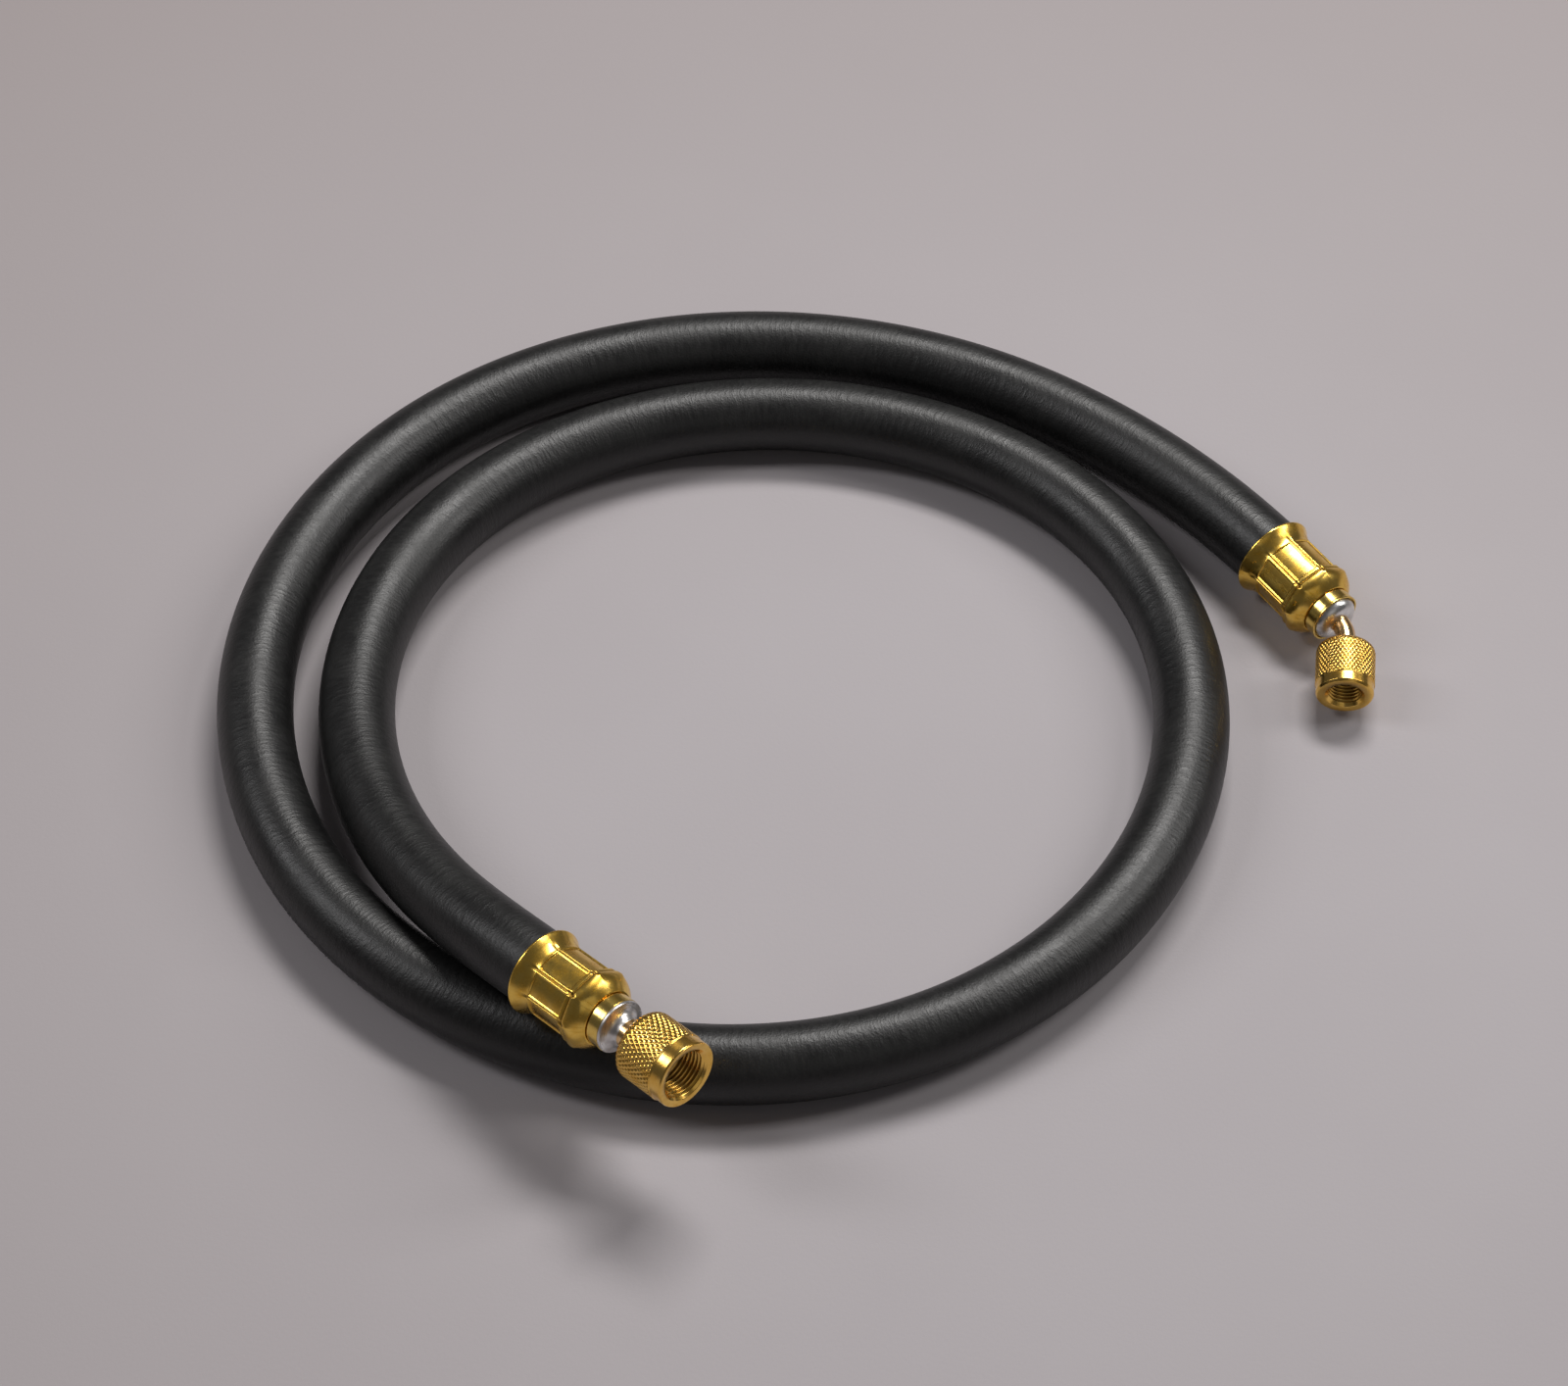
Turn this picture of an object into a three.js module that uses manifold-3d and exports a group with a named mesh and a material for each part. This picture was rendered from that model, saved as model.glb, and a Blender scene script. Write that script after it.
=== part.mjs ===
// Refrigerant charging hose, 60 inches of hose lying in a turn and a half on a level surface.
// One end carries a straight 3/8 in flare fitting and rests on the hose, the other a bent 1/4 in one.
// Millimetres, +Z up, origin at the middle of the base of the whole object's box.

import * as THREE from 'three';
import { mergeVertices } from 'three/addons/utils/BufferGeometryUtils.js';
import Module from 'manifold-3d';

const wasm = await Module();
wasm.setup();

// Clearances
const GAP = 0.3;

// Hose
const HOSE_OD = 24.5;
const HOSE_BORE = 12.7;
const HOSE_SIDES = 12;
const HOSE_STEPS = 60;

// Route of the hose's centreline from the bent fitting to the straight one.
// Each point is x, y and its lift above where the hose lies on the surface.
const ROUTE = [
  [169.0, 46.1, 2.05],
  [162.8, 55.2, 2.05],
  [156.5, 64.2, 2.05],
  [139.4, 86.4, 1.4],
  [109.0, 116.7, 0.2],
  [73.2, 140.9, 0],
  [33.0, 156.7, 0],
  [-9.8, 162.9, 0],
  [-52.8, 158.7, 0],
  [-93.3, 143.9, 0],
  [-128.4, 118.7, 0],
  [-155.0, 84.8, 0],
  [-171.1, 44.7, 0],
  [-175.0, 1.8, 0],
  [-166.2, -40.5, 0],
  [-145.5, -78.3, 0],
  [-114.7, -108.6, 0],
  [-76.8, -129.2, 0],
  [-34.7, -138.8, 0],
  [8.4, -136.6, 0],
  [49.1, -122.3, 0],
  [83.9, -96.8, 0],
  [109.7, -62.2, 0],
  [124.0, -21.5, 0],
  [124.8, 21.6, 0],
  [111.1, 62.4, 0],
  [84.3, 96.1, 0],
  [47.8, 119.2, 0],
  [6.1, 130.0, 0],
  [-37.0, 128.1, 0],
  [-77.5, 113.3, 0],
  [-111.3, 86.5, 0],
  [-133.8, 49.8, 0.15],
  [-142.1, 7.6, 1.2],
  [-136.0, -34.9, 4.8],
  [-118.3, -73.7, 12.0],
  [-105.5, -92.1, 17.0],
  [-91.7, -108.4, 22.2],
  [-76.8, -124.0, 26.35],
  [-69.1, -131.7, 27.9],
  [-61.4, -139.4, 29.4],
];

// Crimped ferrule, the same on both ends; places are measured along it from its hose end.
// The crimping dies press flat panels into its waist and leave a rib between each two.
const FERRULE_LENGTH = 28.5;
const FERRULE_WALL = 1.2;
const FLARE_OD = 28.4;
const FLARE_LIP = 0.7;
const FLARE_LENGTH = 6.5;
const FLARE_SWEEP = 1.7;
const WAIST_OD = 24.1;
const PANELS = 8;
const PANEL_DEPTH = 0.65;
const PANEL_ACROSS = WAIST_OD - 2 * PANEL_DEPTH;
const PANEL_START = 6.5;
const PANEL_END = 19.9;
const SHOULDER_OD = 26.7;
const SHOULDER_START = 20.2;
const SHOULDER_MIDDLE = 22.7;
const NOSE_OD = 18.4;
const HOSE_INSERT = 22;

// Brass stem: a barb in the hose's bore, a neck in the ferrule's nose and a collar in front of it
const BARB_START = 2;
const BARB_TOOTH = 4;
const BARB_STEP = 1;
const BARB_GROOVE = 0.4;
const NECK_OD = 14.6;
const COLLAR_OD = 17.5;
const COLLAR_LENGTH = 4.2;
const SOCKET_DEPTH = 4;
const STEM_BORE = 4.4;

// The two ends: a straight 3/8 in fitting and a bent 1/4 in one.
// A tube runs straight from the collar's face to the nut, or to the corner of its bend and on from there.
const STRAIGHT_END = {
  label: '3_8',
  panelTurn: 7.5,
  tubeOd: 9.52,
  tubeWall: 1.2,
  tubeRun: 9,
  solderOd: 17.1,
  solderEdge: 0.9,
  solderLength: 4.6,
  solderDished: true,
  nutOd: 22.4,
  nutLength: 20.4,
  nutBack: 15.6,
  nutCrown: 3.2,
  bandLength: 4.8,
  bandStep: 0.35,
  rimOd: 21.2,
  rimBevel: 0.5,
  threadMinor: 14.4,
  mouthOd: 17.4,
  backWall: 3.4,
  flangeLength: 2.6,
  gasketLength: 2.2,
  gasketBore: 7,
};
const BENT_END = {
  label: '1_4',
  panelTurn: 2,
  tubeOd: 6.35,
  tubeWall: 0.9,
  tubeRun: 6,
  bend: 40,
  bendRoll: 11,
  bendRadius: 12,
  afterBend: 7.2,
  solderOd: 15.4,
  solderEdge: 0.3,
  solderLength: 3.2,
  solderDished: false,
  nutOd: 19.4,
  nutLength: 18.8,
  nutBack: 13.4,
  nutCrown: 2.8,
  bandLength: 4.2,
  bandStep: 0.3,
  rimOd: 17.8,
  rimBevel: 0.8,
  threadMinor: 9.9,
  mouthOd: 13,
  backWall: 3.2,
  flangeLength: 2.4,
  gasketLength: 2,
  gasketBore: 4.4,
};

// Segments round each turned piece, along a quarter turn of an outline, and round and along a tube
const TURNED_SIDES = 32;
const ARC_STEPS = 4;
const TUBE_SIDES = 16;
const TUBE_STEPS = 12;

const radians = THREE.MathUtils.degToRad;

const materials = {
  rubber: new THREE.MeshStandardMaterial({ color: 0x1b1b1c, roughness: 0.55, metalness: 0 }),
  brass: new THREE.MeshStandardMaterial({ color: 0xc79a3a, roughness: 0.28, metalness: 1 }),
  copper: new THREE.MeshStandardMaterial({ color: 0xc98a52, roughness: 0.22, metalness: 1 }),
  solder: new THREE.MeshStandardMaterial({ color: 0xb9b9b6, roughness: 0.3, metalness: 1 }),
  seal: new THREE.MeshStandardMaterial({ color: 0x202022, roughness: 0.6, metalness: 0 }),
};

// A solid turned about the local Z axis from a closed outline of radius and height pairs,
// listed anticlockwise with the radius to the right and the height upwards
function turned(outline, sides = TURNED_SIDES) {
  const points = [...outline, outline[0]].map(([r, z]) => new THREE.Vector2(r, z));
  return new THREE.LatheGeometry(points, sides).rotateX(Math.PI / 2);
}

function toManifold(geometry) {
  const bare = geometry.clone();
  bare.deleteAttribute('normal');
  bare.deleteAttribute('uv');
  const merged = mergeVertices(bare, 1e-4);
  const mesh = new wasm.Mesh({
    numProp: 3,
    vertProperties: new Float32Array(merged.attributes.position.array),
    triVerts: new Uint32Array(merged.index.array),
  });
  mesh.merge();
  return new wasm.Manifold(mesh);
}

function toGeometry(manifold) {
  const mesh = manifold.getMesh();
  const geometry = new THREE.BufferGeometry();
  geometry.setAttribute('position', new THREE.BufferAttribute(mesh.vertProperties, 3));
  geometry.setIndex(new THREE.BufferAttribute(mesh.triVerts, 1));
  geometry.computeVertexNormals();
  return geometry;
}

// A round tube with a bore, swept along a curve
function sweptTube(curve, outer, bore, sides, steps) {
  const section = new THREE.Shape(circle(outer, sides));
  section.holes.push(new THREE.Path(circle(bore, sides).reverse()));
  return new THREE.ExtrudeGeometry(section, { extrudePath: curve, steps });
}

function circle(radius, sides) {
  const corners = [];
  for (let i = 0; i < sides; i++) {
    const angle = (2 * Math.PI * i) / sides;
    corners.push(new THREE.Vector2(radius * Math.cos(angle), radius * Math.sin(angle)));
  }
  return corners;
}

const flareRadius = FLARE_OD / 2;
const waistRadius = WAIST_OD / 2;

// The ferrule's skirt from its mouth to its waist, a wall's thickness or less inside its outer surface
function skirt(inset) {
  const outline = [[flareRadius - inset, 0]];
  for (let i = 0; i <= ARC_STEPS; i++) {
    const t = i / ARC_STEPS;
    const r = waistRadius + (flareRadius - waistRadius) * (1 - t) ** FLARE_SWEEP;
    outline.push([r - inset, FLARE_LIP + (FLARE_LENGTH - FLARE_LIP) * t]);
  }
  return outline;
}

function ferruleGeometry(end) {
  const shoulderRadius = SHOULDER_OD / 2;
  const noseRadius = NOSE_OD / 2;
  const noseBore = NECK_OD / 2 + GAP;
  const outside = [...skirt(0), [waistRadius, SHOULDER_START]];
  for (let i = 0; i <= ARC_STEPS; i++) {
    const angle = (Math.PI / 2) * (i / ARC_STEPS);
    const r = noseRadius + (shoulderRadius - noseRadius) * Math.cos(angle);
    outside.push([r, SHOULDER_MIDDLE + (FERRULE_LENGTH - SHOULDER_MIDDLE) * (i / ARC_STEPS)]);
  }
  const inside = [
    [noseBore, FERRULE_LENGTH],
    [noseBore, FERRULE_LENGTH - FERRULE_WALL],
    [waistRadius - FERRULE_WALL, SHOULDER_MIDDLE + FERRULE_WALL],
    ...skirt(FERRULE_WALL).reverse(),
  ];
  let ferrule = toManifold(turned([...outside, ...inside]));
  for (let i = 0; i < PANELS; i++) {
    ferrule = ferrule.subtract(toManifold(dieGeometry(end.panelTurn + (360 * i) / PANELS)));
  }
  return toGeometry(ferrule);
}

// The space that one die takes as it presses its panel
function dieGeometry(turn) {
  const die = new THREE.BoxGeometry(2 * PANEL_DEPTH, WAIST_OD / 2, PANEL_END - PANEL_START);
  die.translate(PANEL_ACROSS / 2 + PANEL_DEPTH, 0, (PANEL_START + PANEL_END) / 2);
  return die.rotateZ(radians(turn));
}

// The ring of space that the ferrule takes out of the hose's outside
function crimpGeometry() {
  const beyond = HOSE_INSERT + GAP;
  const inside = skirt(FERRULE_WALL + GAP);
  const [mouth] = inside[0];
  const [waist] = inside[inside.length - 1];
  return turned([
    [flareRadius, -GAP],
    [flareRadius, beyond],
    [waist, beyond],
    ...inside.reverse(),
    [mouth, -GAP],
  ]);
}

function hoseGeometry(curve, ends) {
  let hose = toManifold(sweptTube(curve, HOSE_OD / 2, HOSE_BORE / 2, HOSE_SIDES, HOSE_STEPS));
  for (const matrix of ends) {
    hose = hose.subtract(toManifold(crimpGeometry().applyMatrix4(matrix)));
  }
  return toGeometry(hose);
}

function stemGeometry(end) {
  const barb = (HOSE_BORE / 2) * Math.cos(Math.PI / HOSE_SIDES) - GAP;
  const neckStart = HOSE_INSERT + GAP;
  const collarStart = FERRULE_LENGTH + GAP;
  const collarEnd = collarStart + COLLAR_LENGTH;
  const socket = end.tubeOd / 2 + GAP;
  const outline = [[barb - BARB_GROOVE, BARB_START]];
  for (let z = BARB_START + BARB_TOOTH; z < neckStart - BARB_STEP; z += BARB_TOOTH) {
    outline.push([barb, z - BARB_STEP]);
    outline.push([barb - BARB_GROOVE, z]);
  }
  outline.push([barb - BARB_GROOVE, neckStart]);
  outline.push([NECK_OD / 2, neckStart]);
  outline.push([NECK_OD / 2, collarStart]);
  outline.push([COLLAR_OD / 2, collarStart]);
  outline.push([COLLAR_OD / 2, collarEnd]);
  outline.push([socket, collarEnd]);
  outline.push([socket, collarEnd - SOCKET_DEPTH]);
  outline.push([STEM_BORE / 2, collarEnd - SOCKET_DEPTH]);
  outline.push([STEM_BORE / 2, BARB_START]);
  return turned(outline);
}

const collarFace = FERRULE_LENGTH + GAP + COLLAR_LENGTH;

// The solder set as a dome on the collar's face, or as a dished skirt from the collar's edge to the tube
function solderGeometry(end) {
  const inner = end.tubeOd / 2 + GAP;
  const top = inner + GAP;
  const outer = end.solderOd / 2;
  const start = collarFace + GAP;
  const high = start + end.solderLength;
  const edge = start + end.solderEdge;
  const outline = [[inner, start], [outer, start]];
  for (let i = 0; i <= ARC_STEPS; i++) {
    const angle = (Math.PI / 2) * (i / ARC_STEPS);
    const out = end.solderDished ? 1 - Math.sin(angle) : Math.cos(angle);
    const up = end.solderDished ? 1 - Math.cos(angle) : Math.sin(angle);
    outline.push([top + (outer - top) * out, edge + (high - edge) * up]);
  }
  outline.push([inner, high]);
  return turned(outline);
}

// Centreline of a fitting's tube: straight out of the collar, round the bend if any and into the nut
class TubePath extends THREE.Curve {
  constructor({ tubeRun, bend = 0, bendRadius = 0, afterBend = 0, backWall, flangeLength }) {
    super();
    const angle = radians(bend);
    this.radius = bendRadius;
    this.start = collarFace - SOCKET_DEPTH + GAP;
    const tangentLength = this.radius * Math.tan(angle / 2);
    this.first = collarFace + tubeRun - tangentLength - this.start;
    this.arc = this.radius * angle;
    this.last = afterBend + backWall + GAP + flangeLength - tangentLength;
  }

  // Point and direction at a length along the tube, in the plane of local X and Z
  getPoint(t, target = new THREE.Vector3()) {
    const total = this.first + this.arc + this.last;
    const along = t * total;
    const inArc = THREE.MathUtils.clamp(along - this.first, 0, this.arc);
    const turn = this.radius > 0 ? inArc / this.radius : 0;
    const after = Math.max(along - this.first - this.arc, 0);
    const before = Math.min(along, this.first);
    const x = this.radius * (1 - Math.cos(turn)) + after * Math.sin(turn);
    const z = this.start + before + this.radius * Math.sin(turn) + after * Math.cos(turn);
    return target.set(x, 0, z);
  }
}

// Places a nut's frame: its back face's centre is the origin and its axis points out of the mouth
function nutMatrix({ tubeRun, bend = 0, afterBend = 0 }) {
  const angle = radians(bend);
  const direction = new THREE.Vector3(Math.sin(angle), 0, Math.cos(angle));
  const back = new THREE.Vector3(0, 0, collarFace + tubeRun).addScaledVector(direction, afterBend);
  const turn = new THREE.Quaternion().setFromAxisAngle(new THREE.Vector3(0, 1, 0), angle);
  return new THREE.Matrix4().compose(back, turn, new THREE.Vector3(1, 1, 1));
}

function tubeGeometry(end) {
  const path = new TubePath(end);
  const bore = end.tubeOd / 2 - end.tubeWall;
  const steps = end.bend ? TUBE_STEPS : 1;
  const tube = sweptTube(path, end.tubeOd / 2, bore, TUBE_SIDES, steps);
  const low = end.backWall + GAP;
  const flangeRadius = end.threadMinor / 2 - GAP;
  const inside = end.tubeOd / 2 - end.tubeWall / 2;
  const flange = turned([
    [inside, low],
    [flangeRadius, low],
    [flangeRadius, low + end.flangeLength],
    [inside, low + end.flangeLength],
  ]).applyMatrix4(nutMatrix(end));
  return toGeometry(toManifold(tube).add(toManifold(flange)));
}

function gasketGeometry(end) {
  const low = end.backWall + 2 * GAP + end.flangeLength;
  const outer = end.threadMinor / 2 - GAP;
  const high = low + end.gasketLength;
  return turned([
    [end.gasketBore / 2, low],
    [outer, low],
    [outer, high],
    [end.gasketBore / 2, high],
  ]);
}

function nutGeometry(end) {
  const hole = end.tubeOd / 2 + GAP;
  const outer = end.nutOd / 2;
  const band = outer - end.bandStep;
  const minor = end.threadMinor / 2;
  const mouth = end.mouthOd / 2;
  const outline = [[hole, 0], [end.nutBack / 2, 0]];
  for (let i = 1; i <= ARC_STEPS; i++) {
    const angle = (Math.PI / 2) * (i / ARC_STEPS);
    const r = end.nutBack / 2 + (outer - end.nutBack / 2) * Math.sin(angle);
    outline.push([r, end.nutCrown * (1 - Math.cos(angle))]);
  }
  outline.push([outer, end.nutLength - end.bandLength]);
  outline.push([band, end.nutLength - end.bandLength + end.bandStep]);
  outline.push([band, end.nutLength - end.rimBevel]);
  outline.push([end.rimOd / 2, end.nutLength]);
  outline.push([mouth, end.nutLength]);
  outline.push([minor, end.nutLength - (mouth - minor)]);
  outline.push([minor, end.backWall]);
  outline.push([hole, end.backWall]);
  return turned(outline);
}

// Matrix of a fitting's frame: origin in the ferrule's mouth, Z out of the hose, X level when the roll is 0
function fittingMatrix(tip, direction, roll = 0) {
  const z = direction.clone().normalize();
  const level = new THREE.Vector3().crossVectors(z, new THREE.Vector3(0, 0, 1)).normalize();
  const x = level.applyAxisAngle(z, radians(roll));
  const y = new THREE.Vector3().crossVectors(z, x);
  const origin = tip.clone().addScaledVector(z, -HOSE_INSERT);
  return new THREE.Matrix4().makeBasis(x, y, z).setPosition(origin);
}

function named(name, geometry, material) {
  const mesh = new THREE.Mesh(geometry, material);
  mesh.name = name;
  return mesh;
}

function fitting(end, matrix) {
  const group = new THREE.Group();
  group.applyMatrix4(matrix);
  group.add(named(`ferrule_${end.label}`, ferruleGeometry(end), materials.brass));
  group.add(named(`stem_${end.label}`, stemGeometry(end), materials.brass));
  group.add(named(`solder_${end.label}`, solderGeometry(end), materials.solder));
  group.add(named(`tube_${end.label}`, tubeGeometry(end), materials.copper));
  const swivel = new THREE.Group();
  swivel.applyMatrix4(nutMatrix(end));
  swivel.add(named(`gasket_${end.label}`, gasketGeometry(end), materials.seal));
  swivel.add(named(`nut_${end.label}`, nutGeometry(end), materials.brass));
  group.add(swivel);
  return group;
}

const route = ROUTE.map(([x, y, lift]) => new THREE.Vector3(x, y, HOSE_OD / 2 + lift));
const curve = new THREE.CatmullRomCurve3(route, false, 'centripetal');
const bentMatrix = fittingMatrix(curve.getPoint(0), curve.getTangent(0).negate(), BENT_END.bendRoll);
const straightMatrix = fittingMatrix(curve.getPoint(1), curve.getTangent(1));

const hose = new THREE.Group();
hose.add(named('hose', hoseGeometry(curve, [bentMatrix, straightMatrix]), materials.rubber));
hose.add(fitting(STRAIGHT_END, straightMatrix));
hose.add(fitting(BENT_END, bentMatrix));

export default hose;
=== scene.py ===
import math

import bpy
import numpy as np
from mathutils import Matrix, Vector


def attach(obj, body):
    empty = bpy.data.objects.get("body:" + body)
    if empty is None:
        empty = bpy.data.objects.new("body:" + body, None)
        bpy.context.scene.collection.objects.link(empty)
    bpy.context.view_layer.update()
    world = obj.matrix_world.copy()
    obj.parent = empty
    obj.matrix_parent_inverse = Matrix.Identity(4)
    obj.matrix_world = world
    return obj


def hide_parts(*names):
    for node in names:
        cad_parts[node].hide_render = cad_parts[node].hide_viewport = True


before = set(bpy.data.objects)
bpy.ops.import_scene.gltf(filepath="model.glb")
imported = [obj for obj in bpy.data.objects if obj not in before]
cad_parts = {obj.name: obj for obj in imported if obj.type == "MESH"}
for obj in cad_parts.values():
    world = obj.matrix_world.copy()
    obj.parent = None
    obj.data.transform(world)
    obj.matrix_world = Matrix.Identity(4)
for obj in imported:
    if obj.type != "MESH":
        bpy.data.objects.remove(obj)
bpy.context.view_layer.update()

MM = 0.001
TURN = 2 * math.pi

# Hose, in metres
HOSE_RADIUS = 0.01225
BORE_RADIUS = 0.00635
HOSE_SIDES = 64
HOSE_RING = 0.0018
BORE_RING = 0.012
SPLINE_POINTS = 6000

# Route of the hose's centreline from the bent end to the straight one: x, y and lift above lying flat
ROUTE = np.array([
    (0.1690, 0.0461, 0.00205), (0.1628, 0.0552, 0.00205), (0.1565, 0.0642, 0.00205),
    (0.1394, 0.0864, 0.0014), (0.1090, 0.1167, 0.0002), (0.0732, 0.1409, 0),
    (0.0330, 0.1567, 0), (-0.0098, 0.1629, 0), (-0.0528, 0.1587, 0),
    (-0.0933, 0.1439, 0), (-0.1284, 0.1187, 0), (-0.1550, 0.0848, 0),
    (-0.1711, 0.0447, 0), (-0.1750, 0.0018, 0), (-0.1662, -0.0405, 0),
    (-0.1455, -0.0783, 0), (-0.1147, -0.1086, 0), (-0.0768, -0.1292, 0),
    (-0.0347, -0.1388, 0), (0.0084, -0.1366, 0), (0.0491, -0.1223, 0),
    (0.0839, -0.0968, 0), (0.1097, -0.0622, 0), (0.1240, -0.0215, 0),
    (0.1248, 0.0216, 0), (0.1111, 0.0624, 0), (0.0843, 0.0961, 0),
    (0.0478, 0.1192, 0), (0.0061, 0.1300, 0), (-0.0370, 0.1281, 0),
    (-0.0775, 0.1133, 0), (-0.1113, 0.0865, 0), (-0.1338, 0.0498, 0.00015),
    (-0.1421, 0.0076, 0.0012), (-0.1360, -0.0349, 0.0048), (-0.1183, -0.0737, 0.0120),
    (-0.1055, -0.0921, 0.0170), (-0.0917, -0.1084, 0.0222), (-0.0768, -0.1240, 0.02635),
    (-0.0691, -0.1317, 0.0279), (-0.0614, -0.1394, 0.0294),
])

# Sizes that both fittings share, in millimetres. Places along a fitting start at the ferrule's mouth.
GAP = 0.3
INSERT = 22.0
FERRULE_LENGTH = 28.5
WALL = 1.2
CLEARANCE = 0.15
FLARE_RADIUS = 14.2
FLARE_LIP = 0.7
FLARE_LENGTH = 6.5
FLARE_SWEEP = 1.7
RIM_ROUND = 0.2
RIM_LENGTH = 0.4
WAIST_RADIUS = 12.05
SHOULDER_RADIUS = 13.35
SHOULDER_STEP = (20.0, 20.45)
SHOULDER_SHARE = 0.78
SHOULDER_GROOVE = 21.75
SHOULDER_MIDDLE = 22.7
GROOVE_DEPTH = 0.3
GROOVE_HALF = 0.24
NOSE_RADIUS = 9.2
NECK_RADIUS = 7.3

# Stretches of the ferrule with their numbers of rows: start, end, rows
FERRULE_ROWS = ((0, 1, 9), (1, 6, 22), (6, 7.2, 14), (7.2, 19, 20), (19, 24, 52))
LAST_ROWS = (24, FERRULE_LENGTH, 26)
PANEL_COLUMNS = 44
RIB_CROWDING = 0.75

# The crimping dies' marks: eight panels, and between each two a rib that is split by a crease.
# The bands are four heights each: where the mark starts, is full, is still full and is gone.
PANELS = 8
PANEL_FLOOR = 11.32
PANEL_ROUNDNESS = 0.5
PANEL_END = 19.9
PANEL_BAND = (6.4, 6.8, 19.65, 20.0)
RIB_HALF = 0.95
RIB_SIDE = (0.81, 1.11)
CREASE_DEPTH = 0.34
CREASE_HALF = 0.3
CREASE_BAND = (2.2, 6.0, 22.0, 23.6)
CREASE_MOUTH = (2.5, 7.0)
MOUTH_WIDENING = 1.6
CORNER_BAND = (19.0, 20.6, 21.8, 24.2)
CORNER_DEPTH = 0.3
CORNER_WIDENING = 0.7
SHOULDER_BAND = (19.5, 20.3, 22.2, 27.5)
SHOULDER_OCTAGON = 0.82
SKIRT_BAND = (0.2, 3.0, 5.0, 8.0)
SKIRT_OCTAGON = 0.22

# Painted shade in the dies' marks: how dark each painted line is, from 0 to 1, and half the width of each
# dark line in millimetres
DARK_CREASE = 0.8
DARK_SIDE = 0.35
SIDE_LINE = 0.16
SIDE_START = (6.4, 6.9)
DARK_END = 0.75
END_LINE = 0.2
END_OFFSET = 0.12
DARK_GROOVE = 0.8
GROOVE_LINE = 0.2

# The stem: its barb's foot, bore and radii, and its collar with the bent end's pool of solder
STEM_FOOT = 2.0
STEM_BORE = 2.2
BARB_RADIUS = 5.75
BARB_GROOVE = 5.35
BARB_TEETH = (6.0, 10.0, 14.0, 18.0)
COLLAR_RADIUS = 8.75
COLLAR_START = 28.8
COLLAR_END = 33.0
SOCKET_DEPTH = 4.0
POOL_RADIUS = 8.1
POOL_DEPTH = 1.0
POOL_LIP = 0.12

# The solder: a dome on the bent end, and on the straight one a hollow curve with turned rings
SOLDER_LIFT = 0.05
DOME_HEIGHT = 3.9
DOME_POWER = 0.85
FILLET_EDGE = 1.0
FILLET_HEIGHT = 3.4
FILLET_POWER = 1.15
RING_COUNT = 9
RING_HEIGHT = 0.04
RING_FADE = (0.2, 0.5)

# The nuts' knurl and thread
KNURL_LEAN = math.radians(33)
KNURL_DEPTH = 0.44
KNURL_STEPS = 10
KNURL_START = 0.7
# How sharply painted shade gathers in the knurl's pits, and the pit depth where it starts
PIT_SHARPNESS = 2.2
PIT_START = 0.7
CROWN_ROWS = 10
THREAD_STEPS = 14
THREAD_HEIGHT = 1.3
THREAD_FLAT = 0.12
THREAD_START = 0.8
SEAT_ROWS = 3

# Radii of the small curves that break the corners, and columns round each turned piece
STEM_EASE = 0.07
SEAL_EASE = 0.4
NUT_EASE = 0.09
EASE_SHARE = 0.22
STEM_COLUMNS = 112
SEAL_COLUMNS = 72
TUBE_COLUMNS = 64
TUBE_ROWS = 60

# The straight 3/8 in end and the bent 1/4 in end, in millimetres and degrees
STRAIGHT = dict(
    label="3_8", body="straight_nut", panel_turn=7.5, tube=4.76, wall=1.2, tube_run=9.0, bend=0.0,
    bend_roll=0.0, bend_radius=14.0, after_bend=0.0, nut=11.2, length=20.4, back=7.8, crown=3.2,
    band=4.8, step=0.35, rim=10.6, bevel=0.5, minor=7.2, major=7.95, mouth=8.7, back_wall=3.4,
    flange=2.6, gasket=2.2, gasket_bore=3.5, knurls=42, pitch=1.411,
)
BENT = dict(
    label="1_4", body="bent_nut", panel_turn=2.0, tube=3.175, wall=0.9, tube_run=6.0, bend=40.0,
    bend_roll=11.0, bend_radius=12.0, after_bend=7.2, nut=9.7, length=18.8, back=6.7, crown=2.8,
    band=4.2, step=0.3, rim=8.9, bevel=0.8, minor=4.95, major=5.55, mouth=6.5, back_wall=3.2,
    flange=2.4, gasket=2.0, gasket_bore=2.2, knurls=42, pitch=1.27,
)

# Camera at the photograph's angle
CAMERA_TARGET = Vector((-0.0048, 0.0170, 0.0))
CAMERA_DISTANCE = 1.420
CAMERA_ELEVATION = math.radians(50.0)
FRAME_WIDTH = 1600
FOCAL_PIXELS = 4440.0
SENSOR = 36.0

# Soft boxes that face the origin: name, place and size in metres, watts, colour
LIGHTS = (
    ("back_box", (0.5, 1.3, 2.2), (1.3, 0.5), 53, (1.0, 0.98, 0.96)),
    ("left_box", (-1.7, 0.2, 1.7), (0.5, 1.2), 16, (1.0, 0.99, 1.0)),
    ("right_box", (1.7, 0.3, 1.6), (0.5, 1.2), 17, (1.0, 0.98, 0.96)),
    ("front_card", (0.6, -1.5, 1.2), (1.5, 1.0), 1.4, (1.0, 0.97, 0.94)),
)
WORLD_COLOUR = (0.55, 0.53, 0.54, 1)
WORLD_STRENGTH = 0.14
FLOOR_HALF = 4.0

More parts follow.
